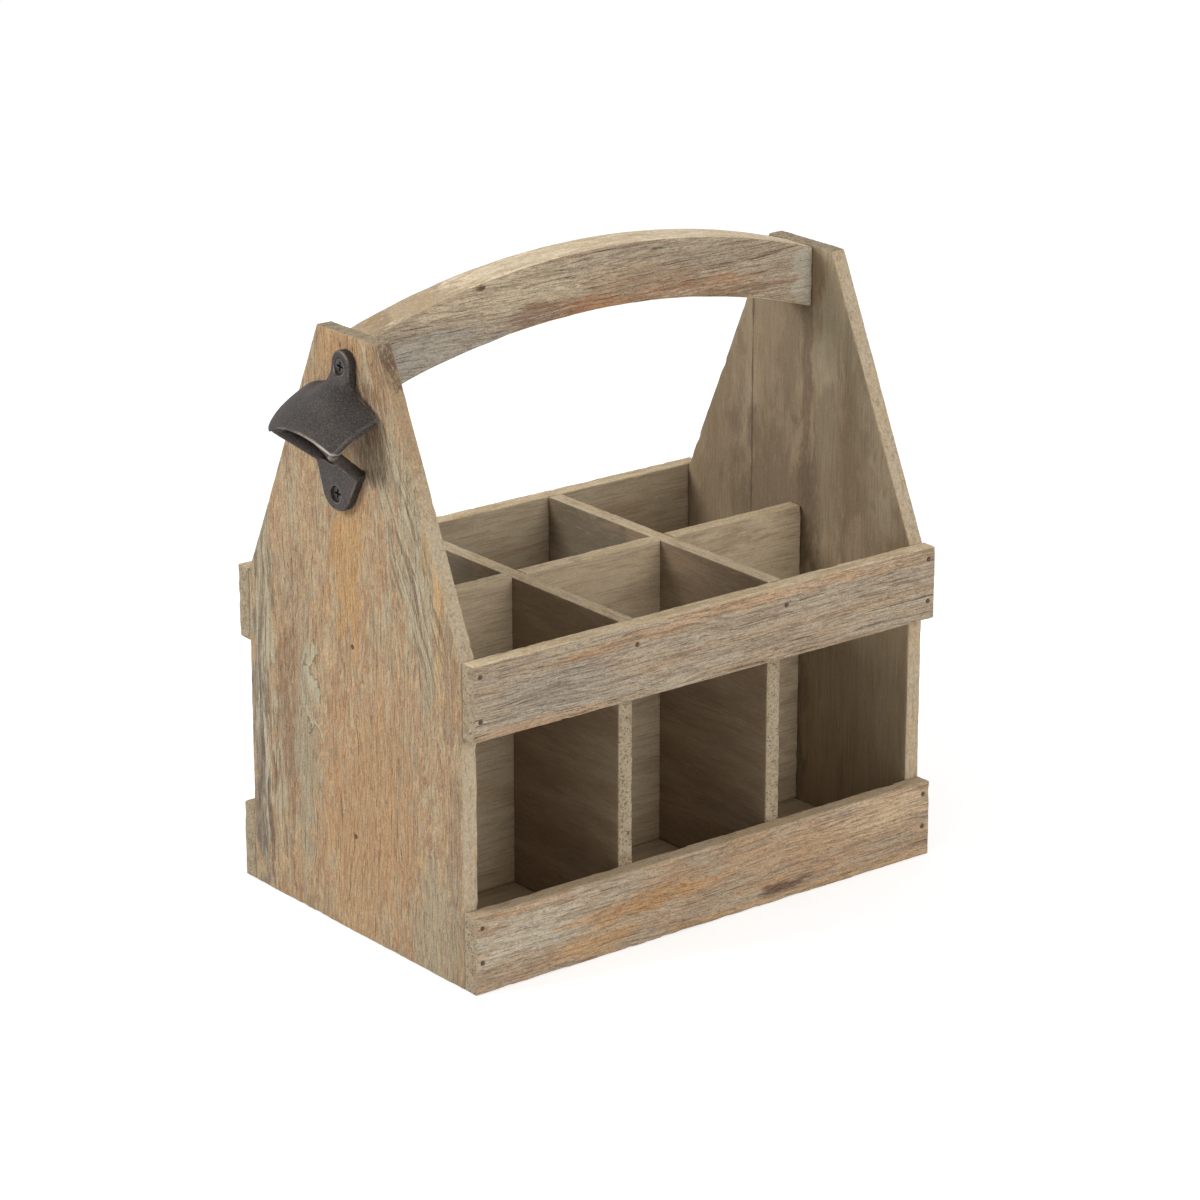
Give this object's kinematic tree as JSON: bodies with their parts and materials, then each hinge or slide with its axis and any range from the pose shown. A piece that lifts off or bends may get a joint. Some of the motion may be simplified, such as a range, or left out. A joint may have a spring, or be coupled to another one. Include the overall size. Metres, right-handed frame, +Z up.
{
  "type": "bottle caddy",
  "caption": "Open wooden caddy with bottle cells, nailed slats, tapered ends and an arched handle, and a cast-iron opener screwed to one end.",
  "frame": {"origin": "on the surface that the caddy stands on, under the middle of its wooden body", "axes": "+X along the caddy, away from the end with the opener; +Y across it, from front to back; +Z up"},
  "size_m": [0.3121, 0.188, 0.3149],
  "materials": {
    "end_panel_wood": "sawn, limewashed and weathered, grain upright",
    "slat_wood": "sawn, limewashed and weathered, grain along the slat",
    "divider_wood": "sawn, lightly weathered",
    "bottom_wood": "sawn",
    "handle_wood": "sawn to an arch, edges eased, limewashed and weathered",
    "cast_iron": "sand-cast, dark satin, worn bright at the lip",
    "screw_steel": "blackened",
    "nail_steel": "dull, slightly rusted"
  },
  "bodies": {
    "root": {"left_end_panel": "end_panel_wood", "right_end_panel": "end_panel_wood", "front_upper_slat": "slat_wood", "front_lower_slat": "slat_wood", "back_upper_slat": "slat_wood", "back_lower_slat": "slat_wood", "bottom_board": "bottom_wood", "long_divider": "divider_wood", "left_cross_divider": "divider_wood", "right_cross_divider": "divider_wood", "handle": "handle_wood", "bottle_opener": "cast_iron", "upper_opener_screw": "screw_steel", "lower_opener_screw": "screw_steel", "front_upper_slat_nails": "nail_steel", "front_lower_slat_nails": "nail_steel", "back_upper_slat_nails": "nail_steel", "back_lower_slat_nails": "nail_steel", "left_handle_nails": "nail_steel", "right_handle_nails": "nail_steel", "left_divider_nails": "nail_steel", "right_divider_nails": "nail_steel", "bottom_board_nails": "nail_steel"}
  },
  "joints": []
}
